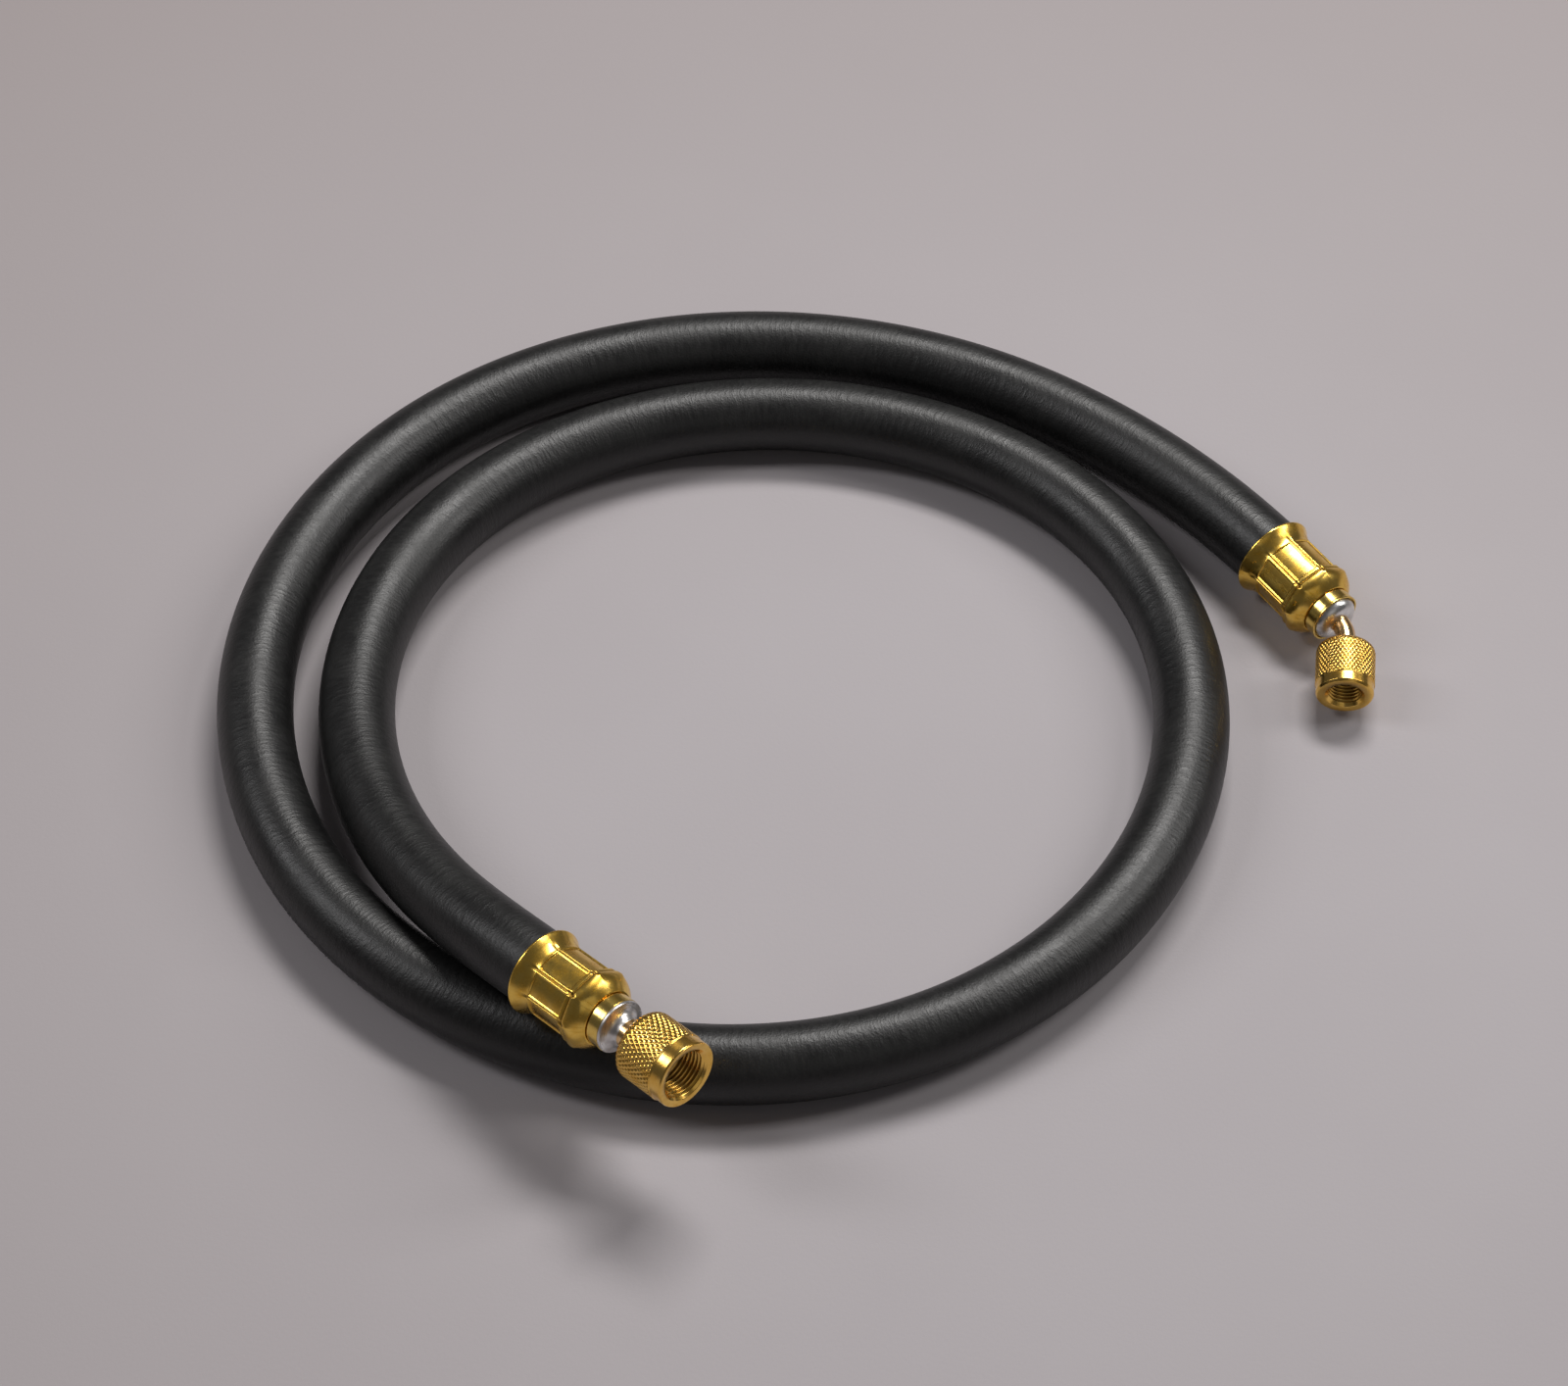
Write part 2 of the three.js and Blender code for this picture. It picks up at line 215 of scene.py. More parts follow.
# Brass of the ferrules, the stems and the nuts: two shades, roughness, tool lines to the metre
# round the piece and along it, and their depth in metres
BRASS = dict(
    pressed=("ferrule_brass", (0.96, 0.64, 0.14, 1), (0.83, 0.49, 0.07, 1), 0.23, (300, 900, 1), 0.00002),
    turned=("turned_brass", (0.95, 0.69, 0.20, 1), (0.84, 0.56, 0.12, 1), 0.18, (40, 5200, 1), 0.00003),
    knurled=("nut_brass", (0.96, 0.62, 0.16, 1), (0.84, 0.49, 0.09, 1), 0.2, (60, 4200, 1), 0.00002),
)
# Painted shade for the hollows that the meshes mark (ferrule creases, knurl pits, thread grooves): its dark
# brown, how much of it, and how much duller it leaves the metal
PAINTED_SHADE_BROWN = (0.20, 0.10, 0.015, 1)
PAINTED_SHADE_SHARE = 0.85
HOLLOW_DULLNESS = 0.15


def place_camera():
    """Looks along +Y and down at the target, with the lens that gives the photograph's perspective."""
    data = bpy.data.cameras.new("studio_camera")
    data.sensor_width = SENSOR
    data.sensor_fit = "HORIZONTAL"
    data.lens = data.sensor_width * FOCAL_PIXELS / FRAME_WIDTH
    data.clip_end = 20.0
    camera = bpy.data.objects.new("studio_camera", data)
    back = Vector((0, -math.cos(CAMERA_ELEVATION), math.sin(CAMERA_ELEVATION)))
    camera.location = CAMERA_TARGET + back * CAMERA_DISTANCE
    camera.rotation_euler = (math.pi / 2 - CAMERA_ELEVATION, 0, 0)
    bpy.context.scene.collection.objects.link(camera)
    bpy.context.scene.camera = camera


class Value:
    """A number that a material works out at each point, so that sums on it are written as sums."""

    def __init__(self, finish, socket):
        self.finish = finish
        self.socket = socket

    def _sum(self, operation, first, second):
        return self.finish.node("ShaderNodeMath", {"operation": operation}, {0: first, 1: second})

    def __add__(self, other):
        return self._sum("ADD", self, other)

    __radd__ = __add__

    def __mul__(self, other):
        return self._sum("MULTIPLY", self, other)

    __rmul__ = __mul__


class Finish:
    """One material, and the nodes that work out its colour, gloss and relief."""

    def __init__(self, name):
        self.material = bpy.data.materials.new(name)
        self.material.use_nodes = True
        self.tree = self.material.node_tree
        self.tree.nodes.clear()

    def node(self, kind, settings=None, inputs=None, output=0):
        """Adds a node: its settings first, then a value or a link for each socket named in inputs.

        It gives back the node's output with the given name or number, or the node if it has none.
        """
        made = self.tree.nodes.new(kind)
        for name, value in (settings or {}).items():
            setattr(made, name, value)
        for name, value in (inputs or {}).items():
            if isinstance(value, Value):
                self.tree.links.new(value.socket, made.inputs[name])
            else:
                made.inputs[name].default_value = value
        return Value(self, made.outputs[output]) if made.outputs else made

    def place(self):
        """Object coordinates, in metres."""
        return self.node("ShaderNodeTexCoord", output="Object")

    def surface(self):
        """The mesh's own UV map, in metres round the piece and along it."""
        return self.node("ShaderNodeUVMap", {"uv_map": "surface"})

    def stretched(self, vector, scale):
        return self.node("ShaderNodeMapping", {"vector_type": "POINT"}, {"Vector": vector, "Scale": scale})

    def noise(self, vector, scale, detail=2.0, roughness=0.5):
        inputs = {"Vector": vector, "Scale": scale, "Detail": detail, "Roughness": roughness}
        return self.node("ShaderNodeTexNoise", None, inputs)

    def limits(self, value, low, high, to_low=0.0, to_high=1.0):
        """Maps low..high to to_low..to_high and holds it there outside."""
        inputs = {"Value": value, "From Min": low, "From Max": high, "To Min": to_low, "To Max": to_high}
        return self.node("ShaderNodeMapRange", {"clamp": True}, inputs)

    def blend(self, mask, first, second):
        inputs = {0: mask, 6: first, 7: second}
        return self.node("ShaderNodeMix", {"data_type": "RGBA"}, inputs, output=2)

    def bump(self, height, depth, strength):
        inputs = {"Height": height, "Distance": depth, "Strength": strength}
        return self.node("ShaderNodeBump", None, inputs)

    def shade(self, **inputs):
        """Ends the material in one Principled BSDF with these sockets."""
        named = {name.replace("_", " "): value for name, value in inputs.items()}
        shader = self.node("ShaderNodeBsdfPrincipled", None, named)
        self.node("ShaderNodeOutputMaterial", None, {"Surface": shader})
        return self.material


def rubber_finish():
    """Black rubber cover that was cured in a cloth wrap: fine weave and low crosswise creases."""
    finish = Finish("hose_rubber")
    surface = finish.surface()
    creases = finish.noise(finish.stretched(surface, (200.0, 620.0, 1.0)), 1.0, 3.0, 0.6)
    weave = finish.noise(finish.stretched(surface, (1300.0, 1500.0, 1.0)), 1.0, 1.0)
    broad = finish.noise(finish.stretched(surface, (30.0, 45.0, 1.0)), 1.0, 2.0)
    relief = creases * 0.6 + weave * 0.25 + broad * 0.5
    normal = finish.bump(relief, 0.0004, 0.7)
    dust = finish.limits(creases + broad, 0.85, 1.3)
    colour = finish.blend(dust, (0.0035, 0.0035, 0.0035, 1), (0.009, 0.009, 0.0085, 1))
    rough = finish.limits(broad + creases, 0.7, 1.3, 0.37, 0.5)
    return finish.shade(Base_Color=colour, Roughness=rough, Normal=normal, Specular_IOR_Level=0.5)


def brass_finish(name, pale, deep, rough, lines, depth):
    """Brass with tool marks and faint tarnish.

    The marks are noise that is stretched to so many lines to the metre round the piece and along it.
    Painted shade, browner and duller, goes in the hollows that the mesh marks, such as a knurl's pits.
    """
    finish = Finish(name)
    surface = finish.surface()
    marks = finish.noise(finish.stretched(surface, lines), 1.0, 2.0, 0.7)
    tarnish = finish.noise(finish.place(), 260.0, 3.0, 0.6)
    specks = finish.noise(finish.place(), 1500.0, 2.0, 0.6)
    # How much painted shade the mesh gives each point
    hollow = finish.node("ShaderNodeAttribute", {"attribute_name": "hollow"}, output="Fac")
    metal = finish.blend(finish.limits(tarnish, 0.38, 0.66), pale, deep)
    colour = finish.blend(hollow * PAINTED_SHADE_SHARE, metal, PAINTED_SHADE_BROWN)
    gloss = finish.limits(tarnish * 0.7 + specks * 0.3, 0.35, 0.65, rough * 0.85, rough * 1.25)
    rough = gloss + hollow * HOLLOW_DULLNESS
    normal = finish.bump(marks, depth, 0.5)
    return finish.shade(Base_Color=colour, Metallic=1.0, Roughness=rough, Normal=normal)


def copper_finish():
    """Drawn tube: rose-yellow metal with lengthwise lines, browner in blotches where it was heated."""
    finish = Finish("tube_copper")
    surface = finish.surface()
    lines = finish.noise(finish.stretched(surface, (2600.0, 60.0, 1.0)), 1.0, 2.0)
    heat = finish.noise(finish.place(), 330.0, 2.0, 0.5)
    colour = finish.blend(finish.limits(heat, 0.4, 0.68), (0.93, 0.66, 0.33, 1), (0.66, 0.36, 0.14, 1))
    normal = finish.bump(lines, 0.00003, 0.4)
    rough = finish.limits(heat, 0.3, 0.7, 0.16, 0.27)
    return finish.shade(Base_Color=colour, Metallic=1.0, Roughness=rough, Normal=normal)


def solder_finish():
    """Silver solder that ran and set: bright, a little rippled, dull in patches."""
    finish = Finish("solder")
    ripples = finish.noise(finish.place(), 520.0, 3.0, 0.6)
    patches = finish.noise(finish.place(), 190.0, 2.0, 0.5)
    colour = finish.blend(finish.limits(patches, 0.4, 0.65), (0.82, 0.82, 0.81, 1), (0.56, 0.53, 0.50, 1))
    normal = finish.bump(ripples, 0.00012, 0.4)
    rough = finish.limits(patches, 0.35, 0.65, 0.24, 0.4)
    return finish.shade(Base_Color=colour, Metallic=1.0, Roughness=rough, Normal=normal)


def seal_finish():
    """Moulded black rubber seal."""
    finish = Finish("seal_rubber")
    skin = finish.noise(finish.place(), 1800.0, 2.0)
    colour = finish.blend(skin, (0.012, 0.012, 0.013, 1), (0.03, 0.03, 0.03, 1))
    rough = finish.limits(skin, 0.3, 0.7, 0.45, 0.6)
    return finish.shade(Base_Color=colour, Roughness=rough, Normal=finish.bump(skin, 0.00004, 0.4))


def paper_finish():
    """Seamless paper of a warm mauve grey, with a faint mottle, and painted shade that darkens it far from
    the middle.
    """
    finish = Finish("paper")
    place = finish.place()
    mottle = finish.noise(place, 9.0, 3.0, 0.6)
    fibre = finish.noise(place, 700.0, 2.0, 0.6)
    mottled = finish.limits(mottle, 0.35, 0.65)
    near = finish.blend(mottled, (0.396, 0.372, 0.387, 1), (0.388, 0.364, 0.379, 1))
    # Painted shade: the paper darkens with distance from this middle point, standing in for the light's
    # falloff
    middle = (0.08, -0.08, 0.0)
    distance = {"operation": "DISTANCE"}
    shade_distance = finish.node("ShaderNodeVectorMath", distance, {0: place, 1: middle}, output="Value")
    colour = finish.blend(finish.limits(shade_distance, 0.15, 0.7), near, (0.285, 0.250, 0.248, 1))
    normal = finish.bump(fibre, 0.0002, 0.25)
    return finish.shade(Base_Color=colour, Roughness=0.75, Normal=normal, Specular_IOR_Level=0.2)


def grid_mesh(name, points, uv, hollow=None):
    """A closed shell on a grid of points, rows by columns, whose last row and column join the first.

    points is rows x columns x 3 and uv rows x columns x 2. Each face joins a point with the next
    in its row and the two beside them in the next row. hollow says how much painted shade each point gets.
    """
    rows, columns = points.shape[:2]
    low, left = np.meshgrid(np.arange(rows), np.arange(columns), indexing="ij")
    high = (low + 1) % rows
    right = (left + 1) % columns
    corners = np.stack([low * columns + left, low * columns + right, high * columns + right,
                        high * columns + left], axis=-1).reshape(-1, 4)
    mesh = bpy.data.meshes.new(name)
    mesh.from_pydata(points.reshape(-1, 3).tolist(), [], corners.tolist())
    mesh.uv_layers.new(name="surface")
    wide = carried_on(uv)
    places = np.stack([wide[:-1, :-1], wide[:-1, 1:], wide[1:, 1:], wide[1:, :-1]], axis=-2)
    mesh.uv_layers["surface"].data.foreach_set("uv", places.astype(np.float32).ravel())
    mesh.polygons.foreach_set("use_smooth", np.ones(len(mesh.polygons), dtype=bool))
    if hollow is not None:
        marks = mesh.attributes.new("hollow", "FLOAT", "POINT")
        marks.data.foreach_set("value", np.clip(hollow, 0, 1).astype(np.float32).ravel())
    mesh.update()
    return mesh


def carried_on(uv):
    """The uv grid with one more row and column, each the last one plus the last step."""
    wide = np.concatenate([uv, uv[-1:] + (uv[-1:] - uv[-2:-1])], axis=0)
    return np.concatenate([wide, wide[:, -1:] + (wide[:, -1:] - wide[:, -2:-1])], axis=1)


def piece(name, mesh, finish, body, replaced):
    """A finished piece: its mesh in place, riding on its body, standing for a solid of the frame."""
    made = bpy.data.objects.new(name, mesh)
    bpy.context.scene.collection.objects.link(made)
    made.data.materials.append(finish)
    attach(made, body)
    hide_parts(replaced)
    return made


def clamped_spline(points, first, last, spacing):
    """A smooth curve through the points, and the length up to each of its evenly spaced points.

    Its bend never jumps: it is made of cubic pieces that have equal second derivatives where they
    meet, and the given directions at the ends. spacing is about the step from point to point.
    """
    span = np.linalg.norm(np.diff(points, axis=0), axis=1)
    knots = np.concatenate([[0], np.cumsum(span)])
    count = len(points)
    system = np.zeros((count, count))
    right = np.zeros((count, 3))
    inner = np.arange(1, count - 1)
    system[inner, inner - 1] = span[:-1]
    system[inner, inner] = 2 * (span[:-1] + span[1:])
    system[inner, inner + 1] = span[1:]
    slope = np.diff(points, axis=0) / span[:, None]
    right[1:-1] = 6 * (slope[1:] - slope[:-1])
    system[0, :2] = 2 * span[0], span[0]
    system[-1, -2:] = span[-1], 2 * span[-1]
    right[0] = 6 * (slope[0] - first)
    right[-1] = 6 * (last - slope[-1])
    bend = np.linalg.solve(system, right)
    fine = np.linspace(0, knots[-1], SPLINE_POINTS)
    k = np.clip(np.searchsorted(knots, fine, side="right") - 1, 0, count - 2)
    h = span[k][:, None]
    before = (fine - knots[k])[:, None]
    after = h - before
    curve = (bend[k] * after ** 3 + bend[k + 1] * before ** 3) / (6 * h)
    curve += (points[k] / h - bend[k] * h / 6) * after
    curve += (points[k + 1] / h - bend[k + 1] * h / 6) * before
    along = np.concatenate([[0], np.cumsum(np.linalg.norm(np.diff(curve, axis=0), axis=1))])
    steps = int(round(along[-1] / spacing))
    even = np.linspace(0, along[-1], steps + 1)
    return np.stack([np.interp(even, along, curve[:, axis]) for axis in range(3)], axis=1), even


def rings(path):
    """Unit vectors across a path at each of its points: one level, one upright, both square to it."""
    ahead = np.gradient(path, axis=0)
    ahead /= np.linalg.norm(ahead, axis=1, keepdims=True)
    side = np.cross(ahead, (0, 0, 1))
    side /= np.linalg.norm(side, axis=1, keepdims=True)
    return side, np.cross(side, ahead)


def crimped_radius(depth):
    """Radius of the hose's outside, in metres, at a depth in millimetres into a ferrule.

    In the ferrule it is the ferrule's inner radius less a clearance, where that is the smaller.
    """
    squeezed = (skirt_radius(depth) - WALL - CLEARANCE) * MM
    return np.where(depth > 0, np.minimum(HOSE_RADIUS, squeezed), HOSE_RADIUS)


def hose_mesh(path, along):
    """The hose as one closed shell: out along its cover, across the cut end and back along its bore.

    A point of a ring is the path's point plus the radius times the sine of its angle sideways and
    the cosine downwards. The radius is the cover's, squeezed in the ferrules, or the bore's.
    """
    total = along[-1]
    depth = np.maximum(INSERT - along / MM, INSERT - (total - along) / MM)
    outer = crimped_radius(depth)
    bore_step = int(round(BORE_RING / HOSE_RING))
    back = np.arange(len(path) - 1, -1, -bore_step)
    back = back if back[-1] == 0 else np.append(back, 0)
    order = np.concatenate([np.arange(len(path)), back])
    radius = np.concatenate([outer, np.full(len(back), BORE_RADIUS)])
    side, up = rings(path)
    angle = np.linspace(0, TURN, HOSE_SIDES, endpoint=False)
    sideways = np.sin(angle)[None, :, None] * side[order][:, None, :]
    upwards = -np.cos(angle)[None, :, None] * up[order][:, None, :]
    points = path[order][:, None, :] + radius[:, None, None] * (sideways + upwards)
    u = np.broadcast_to(angle * HOSE_RADIUS, (len(order), HOSE_SIDES))
    v = np.broadcast_to(along[order][:, None], (len(order), HOSE_SIDES))
    return grid_mesh("hose_cover", points, np.stack([u, v], axis=-1))


def turned_mesh(name, outline, matrix, columns, relief=None):
    """A closed shell made by carrying an outline round the local Z axis.

    The outline lists radius and height in millimetres, anticlockwise with the radius to the right.
    columns is a number of even steps, or the angles themselves. relief(angle, radius, height) gives
    the radius of each point where the surface isn't round, and how much painted shade it gets, from 0 to 1.
    """
    outline = np.asarray(outline, float)
    angle = np.linspace(0, TURN, columns, endpoint=False) if np.isscalar(columns) else columns
    shape = (len(outline), len(angle))
    radius = np.broadcast_to(outline[:, :1], shape)
    height = np.broadcast_to(outline[:, 1:2], shape)
    hollow = None
    if relief is not None:
        radius, hollow = relief(angle[None, :], radius, height)
    points = np.stack([radius * np.cos(angle), radius * np.sin(angle), height], axis=-1) * MM
    length = np.concatenate([[0], np.cumsum(np.linalg.norm(np.diff(outline, axis=0), axis=1))])
    u = np.broadcast_to(angle * outline[:, 0].max() * MM, shape)
    v = np.broadcast_to(length[:, None] * MM, shape)
    return grid_mesh(name, moved(points, matrix), np.stack([u, v], axis=-1), hollow)


def moved(points, matrix):
    """Points turned by a matrix's rotation and shifted by its translation."""
    rotation = np.array(matrix.to_3x3())
    return points @ rotation.T + np.array(matrix.translation)


def eased(outline, radius, steps=3, closed=True):
    """Breaks each corner of an outline with a small curve.

    The curve is the square blend of a point one radius before the corner, the corner and a point one
    radius after it. A further point two radii out keeps the flats beside it flat to the eye. A radius
    is no more than a set share of its edge. The ends of an outline that isn't closed stay as they are.
    """
    outline = np.asarray(outline, float)
    before = np.roll(outline, 1, axis=0) - outline
    after = np.roll(outline, -1, axis=0) - outline
    t = np.linspace(0, 1, steps + 1)[None, :, None]
    start = outline + before * share(before, radius, EASE_SHARE)
    end = outline + after * share(after, radius, EASE_SHARE)
    curve = start[:, None] * (1 - t) ** 2 + outline[:, None] * 2 * t * (1 - t) + end[:, None] * t ** 2
    lead = outline + before * share(before, 2 * radius, 2 * EASE_SHARE)
    trail = outline + after * share(after, 2 * radius, 2 * EASE_SHARE)
    corners = np.concatenate([lead[:, None], curve, trail[:, None]], axis=1)
    if closed:
        return corners.reshape(-1, 2)
    return np.concatenate([outline[:1], corners[1:-1].reshape(-1, 2), outline[-1:]])


def share(edge, length, most):
    """The part of each edge that a length takes up, and no more than most."""
    return np.minimum(length / np.maximum(np.linalg.norm(edge, axis=1, keepdims=True), 1e-9), most)


def smooth_step(low, high, value):
    """0 below low and 1 above high, and between them three squares less two cubes of the share."""
    t = np.clip((value - low) / (high - low), 0, 1)
    return t * t * (3 - 2 * t)


def band(limits, value):
    """1 between the middle two of four limits and 0 outside the outer two, with smooth steps."""
    start, full, still, gone = limits
    return smooth_step(start, full, value) * (1 - smooth_step(still, gone, value))


def bell(away, half):
    """A bell curve, e to the minus square of away over half: 1 in the middle."""
    return np.exp(-(away / half) ** 2)


def skirt_radius(height):
    """Radius of the ferrule's skirt: the waist's, plus a share that falls as a power from mouth to waist."""
    t = np.clip((FLARE_LENGTH - height) / (FLARE_LENGTH - FLARE_LIP), 0, 1)
    return WAIST_RADIUS + (FLARE_RADIUS - WAIST_RADIUS) * t ** FLARE_SWEEP


def ferrule_profile(height):
    """Radius of the ferrule's outside along a rib.

    The skirt with a rounded rim, the straight waist, a step up to the shoulder's first edge, a shallow
    groove, a second step to the crest, and from there a quarter of a cosine down to the nose.
    """
    rim = RIM_ROUND * np.clip(1 - height / RIM_LENGTH, 0, 1) ** 2
    first_step = smooth_step(*SHOULDER_STEP, height)
    second_step = smooth_step(SHOULDER_GROOVE, SHOULDER_MIDDLE - 0.1, height)
    rise = SHOULDER_SHARE * first_step + (1 - SHOULDER_SHARE) * second_step
    groove = GROOVE_DEPTH * bell(height - SHOULDER_GROOVE, GROOVE_HALF)
    fall = np.clip((height - SHOULDER_MIDDLE) / (FERRULE_LENGTH - SHOULDER_MIDDLE), 0, 1)
    up = skirt_radius(height) - rim + (SHOULDER_RADIUS - WAIST_RADIUS) * rise - groove
    down = NOSE_RADIUS + (SHOULDER_RADIUS - NOSE_RADIUS) * np.cos(fall * math.pi / 2)
    return np.where(height < SHOULDER_MIDDLE, up, down)


def pressed(angle, height):
    """Radius of the ferrule's outside with the marks of the crimping dies, and how much painted shade it
    gets there.

    The profile is first drawn in towards a regular octagon at the shoulder, and a little at the skirt.
    A panel's floor, halfway between flat and round, then takes the place of the profile between the
    ribs, with narrow smooth steps at its four sides. Last, a crease like a bell curve is cut along
    the middle of each rib. It opens out into the skirt and is deepest at the shoulder's corners.
    """
    half = TURN / PANELS / 2
    across = (angle + half) % (2 * half) - half
    away = (half - np.abs(across)) * WAIST_RADIUS
    octagon = math.cos(half) / np.cos(across)
    at_shoulder = band(SHOULDER_BAND, height)
    drawn = SHOULDER_OCTAGON * at_shoulder + SKIRT_OCTAGON * band(SKIRT_BAND, height)
    radius = ferrule_profile(height) * (1 - drawn * (1 - octagon))
    floor = PANEL_FLOOR * (PANEL_ROUNDNESS + (1 - PANEL_ROUNDNESS) / np.cos(across))
    sunk = smooth_step(*RIB_SIDE, away) * band(PANEL_BAND, height)
    radius = radius + (np.minimum(floor, radius) - radius) * sunk
    corner = band(CORNER_BAND, height)
    depth = CREASE_DEPTH * band(CREASE_BAND, height)
    opened = 1 - smooth_step(*CREASE_MOUTH, height)
    crease = bell(away, CREASE_HALF * (1 + MOUTH_WIDENING * opened + CORNER_WIDENING * corner))
    side = bell(away - RIB_HALF, SIDE_LINE) * smooth_step(*SIDE_START, height) * (1 - at_shoulder)
    # Painted shade: dark lines in the creases, along the ribs' sides, at the panels' ends and in the
    # shoulder's groove, where shade falls
    hollow = DARK_CREASE * crease * (depth / CREASE_DEPTH + corner) + DARK_SIDE * side
    hollow = hollow + DARK_END * bell(height - PANEL_END - END_OFFSET, END_LINE)
    hollow = hollow + DARK_GROOVE * bell(height - SHOULDER_GROOVE, GROOVE_LINE)
    return radius - (depth + CORNER_DEPTH * corner) * crease, hollow


def ferrule_mesh(end, matrix):
    """The crimped shell: its outside from flare to nose, then its nose hole and bore back to the flare.

    Its columns crowd together at the ribs, by a share of the way across a panel that falls as a
    square, and its rows where a panel starts and ends.
    """
    stretches = [np.linspace(start, stop, rows, endpoint=False) for start, stop, rows in FERRULE_ROWS]
    height = np.concatenate(stretches + [np.linspace(*LAST_ROWS)])
    outside = np.stack([ferrule_profile(height), height], axis=1)
    hole = NECK_RADIUS + CLEARANCE
    bore = WAIST_RADIUS - WALL
    in_bore = np.linspace(FLARE_LENGTH, 0.4, 12)
    mouth = FLARE_RADIUS - WALL
    inside = [(NOSE_RADIUS - 0.15, FERRULE_LENGTH), (hole + 0.2, FERRULE_LENGTH)]
    inside += [(hole, FERRULE_LENGTH - 0.2), (hole, FERRULE_LENGTH - WALL), (bore, SHOULDER_MIDDLE + WALL)]
    inside += list(zip(skirt_radius(in_bore) - WALL, in_bore))
    inside += [(mouth + 0.1, 0.12), (mouth + 0.3, 0.0)]
    outline = np.concatenate([outside, inside])
    t = np.linspace(-1, 1, PANEL_COLUMNS, endpoint=False)
    even = np.abs(t)
    crowded = np.sign(t) * ((1 - RIB_CROWDING) * even + RIB_CROWDING * (1 - (1 - even) ** 2))
    half = TURN / PANELS / 2
    first = math.radians(end["panel_turn"])
    angle = (np.arange(PANELS)[:, None] * 2 * half + crowded * half).ravel() + first

    def relief(angle, radius, height):
        outer = np.arange(len(outline))[:, None] < len(outside)
        outside_radius, hollow = pressed(angle - first, height)
        return np.where(outer, outside_radius, radius), np.where(outer, hollow, 0)

    return turned_mesh("ferrule_" + end["label"], outline, matrix, angle, relief)


def stem_mesh(end, matrix):
    """The turned stem: barb, neck, collar and the socket that holds the tube.

    The bent end's collar has a thin lip round the pool that its solder stands in.
    """
    socket = end["tube"] + 0.05
    deep = COLLAR_END - SOCKET_DEPTH
    outline = [(BARB_GROOVE, STEM_FOOT)]
    for tooth in BARB_TEETH:
        outline += [(BARB_RADIUS, tooth - 1.0), (BARB_GROOVE, tooth)]
    outline += [(BARB_GROOVE, INSERT + GAP), (NECK_RADIUS, INSERT + GAP)]
    outline += [(NECK_RADIUS, COLLAR_START), (COLLAR_RADIUS, COLLAR_START)]
    if end is BENT:
        lip = COLLAR_RADIUS + POOL_LIP
        pool = COLLAR_END - POOL_DEPTH
        outline += [(COLLAR_RADIUS, COLLAR_END - 0.8), (lip, COLLAR_END - 0.4), (lip, COLLAR_END)]
        outline += [(POOL_RADIUS + 0.25, COLLAR_END), (POOL_RADIUS, pool), (socket, pool)]
    else:
        outline += [(COLLAR_RADIUS, COLLAR_END), (socket, COLLAR_END)]
    outline += [(socket, deep), (STEM_BORE, deep), (STEM_BORE, STEM_FOOT)]
    return turned_mesh("stem_" + end["label"], eased(outline, STEM_EASE), matrix, STEM_COLUMNS)


def solder_mesh(end, matrix):
    """The solder joint.

    On the bent end it is a dome, an ellipse's quarter from the pool's edge to the tube. On the straight
    end it is a rounded edge, and from there a hollow quarter ellipse up to the tube, with turned rings.
    """
    inner = end["tube"] + 0.02
    t = np.linspace(0, 1, 40)
    if end is BENT:
        base = COLLAR_END - POOL_DEPTH + SOLDER_LIFT
        radius = inner + (POOL_RADIUS - 0.2 - inner) * np.cos(t * math.pi / 2) ** DOME_POWER
        height = base + DOME_HEIGHT * np.sin(t * math.pi / 2)
    else:
        base = COLLAR_END + SOLDER_LIFT
        edge = COLLAR_RADIUS - 0.15
        radius = inner + (edge - 0.1 - inner) * (1 - np.sin(t * math.pi / 2)) ** FILLET_POWER
        height = base + FILLET_EDGE + FILLET_HEIGHT * (1 - np.cos(t * math.pi / 2))
        turned = RING_HEIGHT * np.cos(t * TURN * RING_COUNT) * (1 - smooth_step(*RING_FADE, t))
        radius = np.concatenate([[edge, edge + 0.03, edge + 0.03, edge], radius])
        height = np.concatenate([[base, base + 0.1, base + 0.6, base + 0.9], height + turned])
    outline = [(inner - 0.3, base)] + list(zip(radius, height)) + [(inner - 0.3, height[-1] - 0.1)]
    return turned_mesh("solder_" + end["label"], outline, matrix, STEM_COLUMNS)


def tube_points(end):
    """Centreline of a fitting's tube in its own frame, in millimetres, from its socket to its flange.

    A straight run, an arc of the bend's angle and radius, and a second straight run. It gives the
    points, how far the tube has turned at each, and the length up to each.
    """
    angle = math.radians(end["bend"])
    radius = end["bend_radius"]
    cut = radius * math.tan(angle / 2)
    start = COLLAR_END - SOCKET_DEPTH + 0.1
    first = COLLAR_END + end["tube_run"] - cut - start
    arc = radius * angle
    last = end["after_bend"] + end["back_wall"] + GAP + end["flange"] - cut
    along = np.linspace(0, first + arc + last, TUBE_ROWS)
    turn = np.clip(along - first, 0, arc) / radius
    after = np.maximum(along - first - arc, 0)
    x = radius * (1 - np.cos(turn)) + after * np.sin(turn)
    z = start + np.minimum(along, first) + radius * np.sin(turn) + after * np.cos(turn)
    return np.stack([x, np.zeros_like(x), z], axis=1), turn, along


